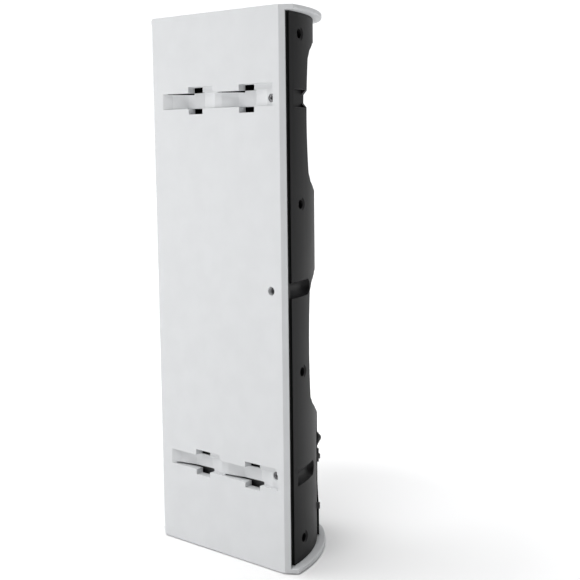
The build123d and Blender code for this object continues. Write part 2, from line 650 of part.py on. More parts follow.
with BuildPart() as fan_screws:
    for x in (-21.0, 21.0):
        for z in (FAN_Z - 21.0, FAN_Z + 21.0):
            rod_y(x, z, 2.5, FAN_D1 + 0.05, FAN_D1 + 1.6)
            rod_y(x, z, 1.2, SINK_END - 8, FAN_D1 + 0.1)
save(fan_screws, "fan_screws")

with BuildPart() as storage_card:
    block(-40.0, -18.0, BOARD_FRONT + 2.2, BOARD_FRONT + 3.2, 118.0, 198.0)
    block(-39.0, -19.0, BOARD_FRONT + 0.05, BOARD_FRONT + 5.2, 112.0, 119.0)
    with Locations(*[at(-29.0, BOARD_FRONT + 3.6, z) for z in (134.0, 154.0, 176.0)]):
        Box(16.0, 1.2, 13.0)
save(storage_card, "storage_card")

with BuildPart() as power_supply:
    block(-38.0, 38.0, BODY_D + 0.05, 37.0, 16.0, 84.0)
    chamfer(power_supply.edges().filter_by(Axis.Z), length=1.5)
    with BuildSketch(Plane.XZ.offset(37.0 - BACK)):
        with Locations((0, 50.0)):
            with GridLocations(5.0, 24.0, 11, 2):
                SlotOverall(16.0, 2.0, rotation=90)
    extrude(amount=-1.2, mode=Mode.SUBTRACT)
    block(-10.0, 10.0, 14.0, 22.0, 83.9, 88.0)
save(power_supply, "power_supply")

with BuildPart() as speaker:
    rod_y(0, UPPER_SCOOP_Z, 26.5, 26.5, 30.3)
    rod_y(0, UPPER_SCOOP_Z, 22.5, 27.6, 31.0, Mode.SUBTRACT)
    rod_y(0, UPPER_SCOOP_Z, 14.0, 14.0, 24.0)
    with Locations(Location(at(0, 25.2, UPPER_SCOOP_Z), (90, 0, 0))):
        Cone(14.0, 23.0, 3.6)
    with Locations(Location(at(0, 26.6, UPPER_SCOOP_Z), (90, 0, 0))):
        Cone(7.0, 20.0, 4.0, mode=Mode.SUBTRACT)
    with Locations(at(0, 23.5, UPPER_SCOOP_Z)):
        Sphere(6.0)
save(speaker, "speaker")

SOCKET_X = 61.0
for name, (z, length, width) in PORTS.items():
    d = BOARD_FRONT + 0.1
    with BuildPart() as socket:
        block(44.0, SOCKET_X, d, d + width, z - length / 2, z + length / 2)
        fillet(socket.edges().filter_by(Axis.X), radius=min(1.2, width / 4))
        if name == "power_socket":
            rod_x(50.0, 70.0, d + width / 2, z, 3.4, Mode.SUBTRACT)
            rod_x(49.9, SOCKET_X - 1.5, d + width / 2, z, 1.1)
        else:
            block(50.0, 70.0, d + 0.8, d + width - 0.8, z - length / 2 + 0.8, z + length / 2 - 0.8, Mode.SUBTRACT)
            block(49.9, SOCKET_X - 1.0, d + width * 0.4, d + width * 0.6, z - length / 2 + 2, z + length / 2 - 2)
    save(socket, name)

# ---------------------------------------------------------------- power button and slide switch
with BuildPart() as power_ring:
    rod_y(0, POWER_Z, 11.2, BODY_NOSE_D - 1.5, BODY_NOSE_D - 0.4)
    rod_y(0, POWER_Z, 8.9, 78.0, BODY_NOSE_D - 1.4)
    rod_y(0, POWER_Z, 7.5, 70.0, BODY_NOSE_D + 5, Mode.SUBTRACT)
save(power_ring, "power_ring")

with BuildPart() as power_button:
    rod_y(0, POWER_Z, 7.1, 76.0, BODY_NOSE_D + 0.2)
    fillet(power_button.edges().sort_by(Axis.Y)[0], radius=0.8)
    rod_y(0, POWER_Z, 8.6, 75.6, 77.5)
save(power_button, "power_button")

with BuildPart() as button_board:
    block(-14.5, 14.5, 71.0, 72.6, POWER_Z - 9.0, POWER_Z + 9.0)
    block(-3.0, 3.0, 72.5, 73.8, POWER_Z - 3.0, POWER_Z + 3.0)
save(button_board, "button_board")

with BuildPart() as power_switch_knob:
    slab(flank, 0, 0, 4.3, 3.0, -3.4, 2.3)
    slab(flank, 0, 0, 11.0, 6.4, -4.6, -3.3)
    for up in (-1.2, 0.0, 1.2):
        slab(flank, up, 0, 0.5, 4.0, 1.8, 2.6, Mode.SUBTRACT)
save(power_switch_knob, "power_switch_knob")

with BuildPart() as power_switch_base:
    slab(flank, -SWITCH_TRAVEL / 2, 0, 17.0, 8.8, -9.0, -4.9)
    for across in (-3.9, 3.9):
        slab(flank, -SWITCH_TRAVEL / 2, across, 17.0, 1.0, -5.0, -2.7)
save(power_switch_base, "power_switch_base")

# ---------------------------------------------------------------- dock
with BuildPart() as dock_contacts:
    block(-9.0, 9.0, WELL_D - 4.0, WELL_D - 0.4, 50.0, 54.0)
    block(-11.0, 11.0, WELL_D - 4.0, WELL_D - 2.1, 48.5, 55.5)
    for i in range(5):
        rod_y(-6.0 + 3.0 * i, 52.0, 0.6, WELL_D - 0.5, WELL_D + 1.6)
save(dock_contacts, "dock_contacts")

with BuildPart() as dock_magnets:
    for x in (-MAGNET_X, MAGNET_X):
        rod_y(x, MAGNET_Z, 4.0, 62.6, PAD_D - 2.05)
save(dock_magnets, "dock_magnets")

# ---------------------------------------------------------------- controller housing
PAD_BOT = PAD_Z0 + FIT
PAD_TOP = PAD_Z1 - FIT
PAD_BACK = PAD_D + FIT
SEAM = 71.0                # front and back halves of the controller meet here
POD_X = WELL_X - 0.5
POD_D = WELL_D + 2.3
POD_Z0 = WELL_Z0 + 0.5
POD_Z1 = WELL_Z1 - 0.5
TRIGGER_BAY_D = 54.3       # floor of the bay that the triggers move in
TRIGGER_BAY_Z = 60.0
PAD_SCREWS = [(x, z) for x in (-23.5, 23.5) for z in (14.8, 90.3)]
SIDE_TURN = degrees(CLUSTER_PITCH / PAD_NOSE_R)
ACTION = (
    ("action_button_up", CONTROL_ANGLE, CLUSTER_Z + CLUSTER_PITCH),
    ("action_button_down", CONTROL_ANGLE, CLUSTER_Z - CLUSTER_PITCH),
    ("action_button_inner", CONTROL_ANGLE - SIDE_TURN, CLUSTER_Z),
    ("action_button_outer", CONTROL_ANGLE + SIDE_TURN, CLUSTER_Z),
)
SMALL = (("home_button", 0.0, 86.5, 3.0), ("menu_button", -11.0, 50.0, 2.3), ("pause_button", 11.0, 50.0, 2.3))
nub_spot = nose_plane(-CONTROL_ANGLE, NUB_Z)
dpad_spot = nose_plane(-CONTROL_ANGLE, DPAD_Z)

with BuildPart() as pad_front:
    flared(SEAM, PAD_BOT, PAD_TOP)
    rims = pad_front.edges().group_by(Axis.Z)
    fillet([e for e in rims[0] + rims[-1] if e.center().Y < BACK - SEAM - 1], radius=0.6)
    prism(PAD_INSET + PAD_WALL, SEAM - 1, PAD_BOT + PAD_WALL, PAD_TOP - PAD_WALL, Mode.SUBTRACT)
    # screw bosses, and pillars that carry the curved control board
    for x, z in PAD_SCREWS:
        rod_y(x, z, 2.2, SEAM + 0.1, 76.2)
        rod_y(x, z, 0.9, SEAM - 1, 75.0, Mode.SUBTRACT)
    for angle, z in ((-50.0, 52.0), (-50.0, 86.0), (0.0, 58.0), (50.0, 57.0), (50.0, 86.6)):
        disc(nose_plane(angle, z), 0, 0, 1.4, -8.6, -1.0)
    disc(nub_spot, 0, 0, 4.2, -5, 5, Mode.SUBTRACT)
    disc(dpad_spot, 0, 0, DPAD_R + 1.0, -5, 5, Mode.SUBTRACT)
    for _, angle, z in ACTION:
        disc(nose_plane(angle, z), 0, 0, ACTION_R + FIT, -5, 5, Mode.SUBTRACT)
    for _, angle, z, r in SMALL:
        disc(nose_plane(angle, z), 0, 0, r + FIT, -5, 5, Mode.SUBTRACT)
save(pad_front, "pad_front")

with BuildPart() as pad_back:
    flared(PAD_BACK, PAD_BOT, PAD_TOP)
    block(-80, 80, SEAM - 0.1, 120, 0, 120, Mode.SUBTRACT)
    block(-POD_X, POD_X, POD_D, SEAM - 1, POD_Z0, POD_Z1)
    fillet(pad_back.edges().filter_by(Axis.X).group_by(Axis.Y)[-1], radius=2.0)
    block(-POD_X + 2, POD_X - 2, POD_D + 2, 90, POD_Z0 + 2, POD_Z1 - 2, Mode.SUBTRACT)
    # bay for the triggers, with cheeks at its ends and a rib in the middle
    block(-POD_X + 1.8, POD_X - 1.8, TRIGGER_BAY_D - 0.1, TRIGGER_BAY_D + 2, TRIGGER_BAY_Z - 2, POD_Z1)
    block(-POD_X + 1.8, POD_X - 1.8, POD_D + 1, TRIGGER_BAY_D + 2, TRIGGER_BAY_Z - 2, TRIGGER_BAY_Z)
    block(-POD_X + 1.8, POD_X - 1.8, 0, TRIGGER_BAY_D, TRIGGER_BAY_Z, 120, Mode.SUBTRACT)
    block(-1.5, 1.5, POD_D + 0.7, TRIGGER_BAY_D + 1, TRIGGER_BAY_Z - 1, POD_Z1)
    rod_x(-40, 40, TRIGGER_D, TRIGGER_Z, 1.1, Mode.SUBTRACT)
    block(-8.5, 8.5, 0, POD_D + 0.8, 49.5, 54.5, Mode.SUBTRACT)
    for x, z in PAD_SCREWS:
        rod_y(x, z, 1.4, 60, 80, Mode.SUBTRACT)
        rod_y(x, z, 2.5, 60, PAD_BACK + 1.1, Mode.SUBTRACT)
save(pad_back, "pad_back")

with BuildPart() as pad_screws:
    for x, z in PAD_SCREWS:
        rod_y(x, z, 2.2, PAD_BACK + 0.1, PAD_BACK + 1.05)
        rod_y(x, z, 0.8, PAD_BACK + 1.0, 74.8)
save(pad_screws, "pad_screws")

with BuildPart() as pad_magnets:
    for x in (-MAGNET_X, MAGNET_X):
        rod_y(x, MAGNET_Z, 4.0, SEAM - 0.05, SEAM + 2.5)
save(pad_magnets, "pad_magnets")

with BuildPart() as pad_contacts:
    block(-8.2, 8.2, POD_D + 0.1, POD_D + 0.75, 49.8, 54.2)
    for i in range(5):
        rod_y(-6.0 + 3.0 * i, 52.0, 1.0, POD_D - 0.2, POD_D + 0.2)
save(pad_contacts, "pad_contacts")

with BuildPart() as pad_battery:
    block(-24.0, 24.0, POD_D + 2.2, 57.6, POD_Z0 + 2.3, TRIGGER_BAY_Z - 2.3)
    fillet(pad_battery.edges().filter_by(Axis.X), radius=2.0)
save(pad_battery, "pad_battery")

with BuildPart() as pad_board:
    block(-26.2, 26.2, 58.2, 59.6, POD_Z0 + 2.3, POD_Z1 - 2.4)
    block(-6.0, 6.0, 59.5, 60.8, 60.0, 72.0)
    block(-20.0, -14.0, 59.5, 61.6, 50.0, 58.0)
save(pad_board, "pad_board")

with BuildPart() as control_board:
    nose_sheet(PAD_NOSE_R - 10.0, PAD_NOSE_R - 8.8, 63.0, 42.5, 88.2)
    for up in (-5.0, 5.0):
        for across in (-6.0, 6.0):
            disc(nub_spot, up, across, 1.0, -12.0, -8.75)
    # two ears that hold the direction pad's cross pin
    for up in (-2.9, 2.9):
        slab(dpad_spot, up, 0, 1.0, 3.2, -10.0, -5.35)
    pin(dpad_spot.offset(DPAD_PIVOT), 90, 1.1, 9.0, Mode.SUBTRACT)
save(control_board, "control_board")

# ---------------------------------------------------------------- slide nub
with BuildPart() as nub_housing:
    slab(nub_spot, 0.1, 0, 12.4, 16.8, -8.7, -3.8)
    slab(nub_spot, 0.1, 0, 10.8, 15.2, -7.5, -3.0, Mode.SUBTRACT)
save(nub_housing, "nub_housing")

with BuildPart() as nub_carriage:
    slab(nub_spot, 0.1, 0, 10.4, 11.8, -7.3, -5.9)
    slab(nub_spot, 0, 0, 7.6, 5.2, -8.0, -5.0, Mode.SUBTRACT)
save(nub_carriage, "nub_carriage")

with BuildPart() as nub_cap:
    slab(nub_spot, 0, 0, 4.8, 4.8, -7.2, -5.0)
    disc(nub_spot, 0, 0, 2.2, -5.1, 0.8)
    disc(nub_spot, 0, 0, NUB_R, 0.6, 1.9)
    with Locations(nub_spot.offset(3.7).location):
        Cone(NUB_R - 0.5, 1.3, 3.7)
    fillet(nub_cap.edges().filter_by(GeomType.CIRCLE).sort_by(Axis.Y)[0], radius=0.5)
save(nub_cap, "nub_cap")

# ---------------------------------------------------------------- direction pad
with BuildPart() as dpad_pivot:
    pin(dpad_spot.offset(DPAD_PIVOT), 90, 0.9, 7.4)
    pin(dpad_spot.offset(DPAD_PIVOT), 0, 0.9, 7.4)
    with Locations(dpad_spot.offset(DPAD_PIVOT).location):
        Sphere(2.0)
save(dpad_pivot, "dpad_pivot")

with BuildPart() as dpad:
    disc(dpad_spot, 0, 0, 7.0, -4.8, -3.6)
    disc(dpad_spot, 0, 0, DPAD_R, -3.7, 1.0)
    for size_up, size_across in ((2 * DPAD_R - 0.6, 3.6), (3.6, 2 * DPAD_R - 0.6)):
        slab(dpad_spot, 0, 0, size_up, size_across, 0.9, 3.4)
    with Locations(dpad_spot.offset(5.0).location):
        Sphere(2.4, mode=Mode.SUBTRACT)
    for across in (-2.9, 2.9):
        slab(dpad_spot, 0, across, 3.2, 1.0, -8.4, -4.7)
    pin(dpad_spot.offset(DPAD_PIVOT), 0, 1.1, 9.0, Mode.SUBTRACT)
save(dpad, "dpad")

# ---------------------------------------------------------------- buttons
with BuildPart() as button_membrane:
    nose_sheet(PAD_NOSE_R - 8.7, PAD_NOSE_R - 7.9, 23.0, CLUSTER_Z - 12.0, CLUSTER_Z + 12.0, CONTROL_ANGLE)
save(button_membrane, "button_membrane")

for name, angle, z in ACTION:
    spot = nose_plane(angle, z)
    with BuildPart() as button:
        disc(spot, 0, 0, ACTION_R, -3.4, 1.9)
        fillet(button.edges().filter_by(GeomType.CIRCLE).sort_by(Axis.Y)[0], radius=0.6)
        disc(spot, 0, 0, ACTION_R + 0.9, -4.2, -3.0)
        disc(spot, 0, 0, 1.8, -6.4, -4.1)
    save(button, name)

for name, angle, z, r in SMALL:
    spot = nose_plane(angle, z)
    with BuildPart() as button:
        disc(spot, 0, 0, r, -3.4, 0.8)
        fillet(button.edges().filter_by(GeomType.CIRCLE).sort_by(Axis.Y)[0], radius=0.4)
        disc(spot, 0, 0, r + 0.9, -4.0, -2.8)
        disc(spot, 0, 0, 1.2, -7.2, -3.9)
    save(button, name)

# ---------------------------------------------------------------- triggers
with BuildPart() as trigger_pin:
    rod_x(-27.6, 27.6, TRIGGER_D, TRIGGER_Z, 1.0)
save(trigger_pin, "trigger_pin")

for name, side in (("trigger_left", -1), ("trigger_right", 1)):
    with BuildPart() as trigger:
        block(side * 2.0, side * 26.2, POD_D + 0.7, 49.8, TRIGGER_BAY_Z + 2.5, TRIGGER_Z)
        rod_x(side * 2.0, side * 26.2, TRIGGER_D, TRIGGER_Z, 2.4)
        fillet(trigger.edges().filter_by(Axis.X).group_by(Axis.Z)[0], radius=1.2)
        rod_x(-40, 40, TRIGGER_D, TRIGGER_Z, 1.2, Mode.SUBTRACT)
    save(trigger, name)
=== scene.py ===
import json
import math

import bmesh
import bpy
from mathutils import Matrix, Vector


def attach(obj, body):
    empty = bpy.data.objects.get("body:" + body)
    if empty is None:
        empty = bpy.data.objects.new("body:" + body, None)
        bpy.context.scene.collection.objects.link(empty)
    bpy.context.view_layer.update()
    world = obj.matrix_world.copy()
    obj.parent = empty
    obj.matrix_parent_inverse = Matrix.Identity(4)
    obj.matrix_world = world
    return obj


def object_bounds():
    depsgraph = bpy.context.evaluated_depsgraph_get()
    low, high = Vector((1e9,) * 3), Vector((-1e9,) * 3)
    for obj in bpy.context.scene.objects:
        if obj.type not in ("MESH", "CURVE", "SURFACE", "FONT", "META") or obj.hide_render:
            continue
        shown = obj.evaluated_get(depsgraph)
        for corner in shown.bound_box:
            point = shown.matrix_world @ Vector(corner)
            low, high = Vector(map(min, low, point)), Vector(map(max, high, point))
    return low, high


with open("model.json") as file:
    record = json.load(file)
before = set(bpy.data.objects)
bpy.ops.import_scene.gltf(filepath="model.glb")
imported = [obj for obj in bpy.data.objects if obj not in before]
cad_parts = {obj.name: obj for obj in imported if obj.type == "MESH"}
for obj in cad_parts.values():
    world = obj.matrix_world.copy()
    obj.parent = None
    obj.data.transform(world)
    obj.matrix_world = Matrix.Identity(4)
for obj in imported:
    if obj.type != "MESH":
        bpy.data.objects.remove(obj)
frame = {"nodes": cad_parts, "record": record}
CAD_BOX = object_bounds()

scene = bpy.context.scene

# ------------------------------------------------------------------ camera
AZIMUTH = math.radians(222.6091)  # 0 is straight in front
ELEVATION = math.radians(7.39)
ROLL = math.radians(-0.6521)
SENSOR_MM = 36.0
LENS_MM = 71.269597
CAMERA_AT = (-0.58906, 0.60981, 0.30061)


def camera():
    forward = -Vector((
        math.sin(AZIMUTH) * math.cos(ELEVATION),
        -math.cos(AZIMUTH) * math.cos(ELEVATION),
        math.sin(ELEVATION),
    ))
    right = forward.cross(Vector((0, 0, 1))).normalized()
    up = right.cross(forward)
    right, up = (
        math.cos(ROLL) * right + math.sin(ROLL) * up,
        -math.sin(ROLL) * right + math.cos(ROLL) * up,
    )
    cam = bpy.data.objects.new("camera", bpy.data.cameras.new("camera"))
    scene.collection.objects.link(cam)
    cam.data.sensor_width = SENSOR_MM
    cam.data.lens = LENS_MM
    cam.data.clip_start = 0.01
    cam.data.clip_end = 50.0
    turn = Matrix((right, up, -forward)).transposed().to_4x4()
    cam.matrix_world = Matrix.Translation(CAMERA_AT) @ turn
    scene.camera = cam


camera()


# ------------------------------------------------------------------ materials
def nodes_of(name):
    """A new node material, its tree and its shader."""
    m = bpy.data.materials.new(name)
    m.use_nodes = True
    t = m.node_tree
    return m, t, t.nodes["Principled BSDF"]


def link(t, a, b):
    t.links.new(a, b)


def noise(t, scale, detail=4.0, rough=0.5, coords=None):
    """Value of a noise texture in object coordinates, or in the ones given."""
    n = t.nodes.new("ShaderNodeTexNoise")
    n.inputs["Scale"].default_value = scale
    n.inputs["Detail"].default_value = detail
    n.inputs["Roughness"].default_value = rough
    link(t, coords or coordinates(t), n.inputs["Vector"])
    return n.outputs["Fac"]


def coordinates(t):
    """Object coordinates, from one node in each tree."""
    for n in t.nodes:
        if n.bl_idname == "ShaderNodeTexCoord":
            return n.outputs["Object"]
    return t.nodes.new("ShaderNodeTexCoord").outputs["Object"]


def ramp(t, source, stops):
    """Colour ramp over a value, from (position, colour) stops."""
    n = t.nodes.new("ShaderNodeValToRGB")
    n.color_ramp.elements[0].position = stops[0][0]
    n.color_ramp.elements[0].color = stops[0][1]
    n.color_ramp.elements[1].position = stops[-1][0]
    n.color_ramp.elements[1].color = stops[-1][1]
    for pos, colour in stops[1:-1]:
        n.color_ramp.elements.new(pos).color = colour
    link(t, source, n.inputs["Fac"])
    return n.outputs["Color"]


def grey(v, tint=(1, 1, 1)):
    return (v * tint[0], v * tint[1], v * tint[2], 1.0)


def mix(t, fac, a, b, blend="MIX"):
    """Mixes two colours; each input is a socket or a plain value."""
    n = t.nodes.new("ShaderNodeMix")
    n.data_type = "RGBA"
    n.blend_type = blend
    for value, socket in ((fac, n.inputs["Factor"]), (a, n.inputs[6]), (b, n.inputs[7])):
        if hasattr(value, "links"):
            link(t, value, socket)
        else:
            socket.default_value = value
    return n.outputs[2]


def plastic(name, base, tint, rough, grain, grain_scale, bevel, specular=0.5, mottle=0.03, dust=0.0):
    """Moulded plastic: a faint mottle, an eroded grain, rounded corners and uneven gloss."""
    m, t, bsdf = nodes_of(name)
    cloud = noise(t, 9.0, 5.0, 0.6)
    fine = noise(t, 60.0, 3.0, 0.5)
    dark, light = grey(base * (1 - mottle), tint), grey(base * (1 + mottle), tint)
    tone = ramp(t, cloud, [(0.3, dark), (0.7, light)])
    speck = ramp(t, fine, [(0.35, grey(0.97)), (0.65, grey(1.0))])
    colour = mix(t, 1.0, tone, speck, "MULTIPLY")
    if dust:
        film = noise(t, 24.0, 8.0, 0.72)
        mask = ramp(t, film, [(0.48, grey(0.0)), (0.78, grey(dust))])
        colour = mix(t, mask, colour, grey(0.35, (1.0, 0.98, 0.95)))
    link(t, colour, bsdf.inputs["Base Color"])
    gloss = ramp(t, cloud, [(0.25, grey(rough - 0.05)), (0.75, grey(rough + 0.05))])
    link(t, gloss, bsdf.inputs["Roughness"])
    bsdf.inputs["Specular IOR Level"].default_value = specular
    bump = t.nodes.new("ShaderNodeBump")
    bump.inputs["Strength"].default_value = grain
    bump.inputs["Distance"].default_value = 0.0001
    link(t, noise(t, grain_scale, 2.0, 0.6), bump.inputs["Height"])
    if bevel:
        edge = t.nodes.new("ShaderNodeBevel")
        edge.samples = 4
        edge.inputs["Radius"].default_value = bevel
        link(t, edge.outputs["Normal"], bump.inputs["Normal"])
    link(t, bump.outputs["Normal"], bsdf.inputs["Normal"])
    return m


def metal(name, base, tint, rough, grain_scale=400.0, grain=0.1, brushed=None):
    """Metal with an uneven finish; brushed stretches the grain along one axis."""
    m, t, bsdf = nodes_of(name)
    bsdf.inputs["Metallic"].default_value = 1.0
    coords = coordinates(t)
    if brushed:
        stretch = t.nodes.new("ShaderNodeMapping")
        stretch.inputs["Scale"].default_value = brushed
        link(t, coords, stretch.inputs["Vector"])
        coords = stretch.outputs["Vector"]
    streak = noise(t, grain_scale, 3.0, 0.6, coords)
    tone = ramp(t, streak, [(0.3, grey(base * 0.85, tint)), (0.7, grey(base * 1.08, tint))])
    link(t, tone, bsdf.inputs["Base Color"])
    gloss = ramp(t, streak, [(0.3, grey(rough - 0.06)), (0.7, grey(rough + 0.08))])
    link(t, gloss, bsdf.inputs["Roughness"])
    bump = t.nodes.new("ShaderNodeBump")
    bump.inputs["Strength"].default_value = grain
    bump.inputs["Distance"].default_value = 0.00005
    link(t, streak, bump.inputs["Height"])
    link(t, bump.outputs["Normal"], bsdf.inputs["Normal"])
    return m


def board(name):
    """Solder mask with lighter copper runs showing through."""
    m, t, bsdf = nodes_of(name)
    cells = t.nodes.new("ShaderNodeTexBrick")
    cells.inputs["Scale"].default_value = 260.0
    cells.inputs["Mortar Size"].default_value = 0.03
    cells.inputs["Color1"].default_value = (0.006, 0.05, 0.028, 1)
    cells.inputs["Color2"].default_value = (0.008, 0.06, 0.03, 1)
    cells.inputs["Mortar"].default_value = (0.02, 0.11, 0.05, 1)
    link(t, coordinates(t), cells.inputs["Vector"])
    shade = ramp(t, noise(t, 80.0), [(0.3, grey(0.75)), (0.7, grey(1.0))])
    link(t, mix(t, 1.0, cells.outputs["Color"], shade, "MULTIPLY"), bsdf.inputs["Base Color"])
    bsdf.inputs["Roughness"].default_value = 0.35
    bump = t.nodes.new("ShaderNodeBump")
    bump.inputs["Strength"].default_value = 0.2
    bump.inputs["Distance"].default_value = 0.00005
    link(t, cells.outputs["Fac"], bump.inputs["Height"])
    link(t, bump.outputs["Normal"], bsdf.inputs["Normal"])
    return m


COOL = (0.985, 1.0, 1.015)
# name, shade, tint, roughness, grain strength and scale, corner radius
WHITE = plastic("white_plastic", 0.665, COOL, 0.55, 0.25, 2600.0, 0.0003, specular=0.3, mottle=0.006)
BLACK = plastic(
    "black_plastic", 0.014, (1.0, 1.0, 1.03), 0.44, 0.45, 1700.0, 0.0002,
    specular=0.07, mottle=0.12, dust=0.008,
)
FRAME = plastic("frame_plastic", 0.008, (1, 1, 1), 0.6, 0.4, 1700.0, 0.0003, specular=0.35, mottle=0.1)
BUTTON = plastic("button_plastic", 0.016, (1, 1, 1), 0.36, 0.25, 2600.0, 0.0003, mottle=0.1)
NUB = plastic("nub_rubber", 0.014, (1, 1, 1), 0.62, 0.8, 1500.0, 0.0004, specular=0.3, mottle=0.12)
FOOT = plastic("foot_rubber", 0.03, (1, 0.99, 0.98), 0.75, 0.8, 1300.0, 0.0004, specular=0.25, mottle=0.15)
GREY = plastic("grey_case", 0.06, (0.98, 1.0, 1.03), 0.5, 0.5, 1500.0, 0.0003, mottle=0.1)
SILICONE = plastic("silicone", 0.32, (1, 1, 0.96), 0.5, 0.4, 900.0, 0.0003, mottle=0.05)
SLEEVE = plastic("battery_sleeve", 0.05, (0.8, 0.9, 1.3), 0.25, 0.15, 500.0, 0.0004, mottle=0.06)
CONE = plastic("paper_cone", 0.02, (1.05, 1, 0.95), 0.85, 1.0, 700.0, 0.0, specular=0.15, mottle=0.2)
SCREW = metal("screw_zinc", 0.16, (1, 1, 1.03), 0.42)
STEEL = metal("socket_steel", 0.55, (1, 1, 0.99), 0.32, 900.0, 0.1, (1, 8, 8))
LID = metal("chip_lid", 0.5, (1, 1, 1.02), 0.28)
SINK = metal("sink_aluminium", 0.62, (1, 1, 1.01), 0.4, 300.0, 0.2, (1, 1, 12))
NICKEL = metal("nickel", 0.62, (1.0, 0.97, 0.93), 0.16)
GOLD = metal("gold_contact", 0.85, (1.0, 0.74, 0.33), 0.22)
BOARD = board("circuit_board")


def glow():
    """Milky light guide around the power button."""
    m, t, bsdf = nodes_of("light_guide")
    tint = (0.95, 1.0, 1.05)
    cloud = ramp(t, noise(t, 300.0), [(0.3, grey(0.62, tint)), (0.7, grey(0.72, tint))])
    link(t, cloud, bsdf.inputs["Base Color"])
    bsdf.inputs["Roughness"].default_value = 0.28
    bsdf.inputs["Subsurface Weight"].default_value = 0.4
    bsdf.inputs["Subsurface Radius"].default_value = (0.002, 0.002, 0.002)
    return m


GUIDE = glow()
FINISH = {
    "white_shell": WHITE,
    "shell_black": BLACK,
    "frame_black": FRAME,
    "grille_black": FRAME,
    "button_satin": BUTTON,
    "fan_plastic": GREY,
    "foot_rubber": FOOT,
    "nub_rubber": NUB,
    "membrane_rubber": SILICONE,
    "screw_steel": SCREW,
    "socket_metal": STEEL,
    "chip_metal": LID,
    "sink_aluminium": SINK,
    "magnet_nickel": NICKEL,
    "contact_gold": GOLD,
    "circuit_board": BOARD,
    "supply_case": GREY,
    "battery_wrap": SLEEVE,
    "speaker_cone": CONE,
    "light_guide": GUIDE,
}
for part in frame["record"]["subparts"]:
    node = frame["nodes"][part["node"]]
    node.data.materials.clear()
    node.data.materials.append(FINISH[part["material_slot"]])


# ------------------------------------------------------------------ added pieces
BACK_Y = CAD_BOX[1][1]
NOSE_Y = BACK_Y - 0.05139  # centre of the controller's nose arc
PAD_R = 0.035685
POWER_FACE_Y = BACK_Y - 0.08518
POWER_Z = 0.236

CONTROL_TURN = 31.0  # the controls sit this far round the nose
CLUSTER_Z = 0.073
CLUSTER_PITCH = 0.0084
HOME_Z = 0.0865
SMALL_TURN = 11.0
SMALL_Z = 0.050
DPAD_Z = 0.0606
NUB_Z = 0.0742
LAMP_Z = 0.0435

# marks start a little inside the faces that they stand on: low and high ends
ACTION_FACE = (0.0018, 0.00202)
SMALL_FACE = (0.0007, 0.00092)
DPAD_FACE = (0.0033, 0.00352)
POWER_FACE = (0.0012, 0.00162)

SCOOP_HALF = 0.040
SCOOP_SIDE = 0.0402  # depth of a scoop floor at its ends
SHEET_HALF_X = 0.044
SHEET_HALF_Z = 0.033
SHEET_BEHIND = 0.0042
SHEET_THICK = 0.00025


def weave(name, base, pitch):
    """Fine woven mesh: two crossing sets of threads."""
    m, t, bsdf = nodes_of(name)
    heights = []
    for axis in ("X", "Z"):
        w = t.nodes.new("ShaderNodeTexWave")
        w.bands_direction = axis
        w.inputs["Scale"].default_value = pitch
        w.inputs["Distortion"].default_value = 0.4
        w.inputs["Detail"].default_value = 1.0
        link(t, coordinates(t), w.inputs["Vector"])
        heights.append(w.outputs["Fac"])
    both = t.nodes.new("ShaderNodeMath")
    both.operation = "MAXIMUM"
    link(t, heights[0], both.inputs[0])
    link(t, heights[1], both.inputs[1])
    thread = ramp(t, both.outputs[0], [(0.3, grey(base * 0.3)), (0.9, grey(base))])
    link(t, thread, bsdf.inputs["Base Color"])
    bsdf.inputs["Roughness"].default_value = 0.7
    bsdf.inputs["Specular IOR Level"].default_value = 0.2
    bump = t.nodes.new("ShaderNodeBump")
    bump.inputs["Strength"].default_value = 0.8
    bump.inputs["Distance"].default_value = 0.0001
    link(t, both.outputs[0], bump.inputs["Height"])
    link(t, bump.outputs["Normal"], bsdf.inputs["Normal"])
    return m


def piece(name, bm, material, body, place=None):
    """Turns a bmesh into an object that rides on a CAD body."""
    bmesh.ops.recalc_face_normals(bm, faces=bm.faces)
    me = bpy.data.meshes.new(name)
    bm.to_mesh(me)
    bm.free()
    if place is not None:
        me.transform(place)
    me.materials.append(material)
    o = bpy.data.objects.new(name, me)
    scene.collection.objects.link(o)
    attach(o, body)
    return o


def nose_place(angle, z):
    """On the controller's nose: local X points up, local Z points outwards."""
    a = math.radians(angle)
    out = Vector((math.sin(a), -math.cos(a), 0))
    upward = Vector((0, 0, 1))
    side = out.cross(upward)
    spot = Vector((0, NOSE_Y, z)) + out * PAD_R
    return Matrix.Translation(spot) @ Matrix((upward, side, out)).transposed().to_4x4()


def centre_of(outline):
    return sum(p[0] for p in outline) / len(outline), sum(p[1] for p in outline) / len(outline)


def tile(bm, outline, low, high, soft=0.00008):
    """Flat raised shape with softened upper edges, added to a bmesh."""
    cx, cy = centre_of(outline)
    rings = []
    for z, shrink in ((low, 0.0), (high - soft, 0.0), (high, soft)):
        ring = []
        for x, y in outline:
            r = math.hypot(x - cx, y - cy) or 1.0
            k = 1 - shrink / r
            ring.append(bm.verts.new((cx + (x - cx) * k, cy + (y - cy) * k, z)))
        rings.append(ring)
    n = len(outline)
    for lower, upper in zip(rings, rings[1:]):
        for i in range(n):
            j = (i + 1) % n
            bm.faces.new((lower[i], lower[j], upper[j], upper[i]))
    bm.faces.new(rings[-1])
    bm.faces.new(list(reversed(rings[0])))


def circle(x, y, r, steps=20):
    """Outline of a round spot."""
    turns = [2 * math.pi * i / steps for i in range(steps)]
    return [(x + r * math.cos(a), y + r * math.sin(a)) for a in turns]


def bar(x, y, half_x, half_y):
    """Outline of a straight bar about its middle."""
    return [
        (x - half_x, y - half_y),
        (x + half_x, y - half_y),
        (x + half_x, y + half_y),
        (x - half_x, y + half_y),
    ]


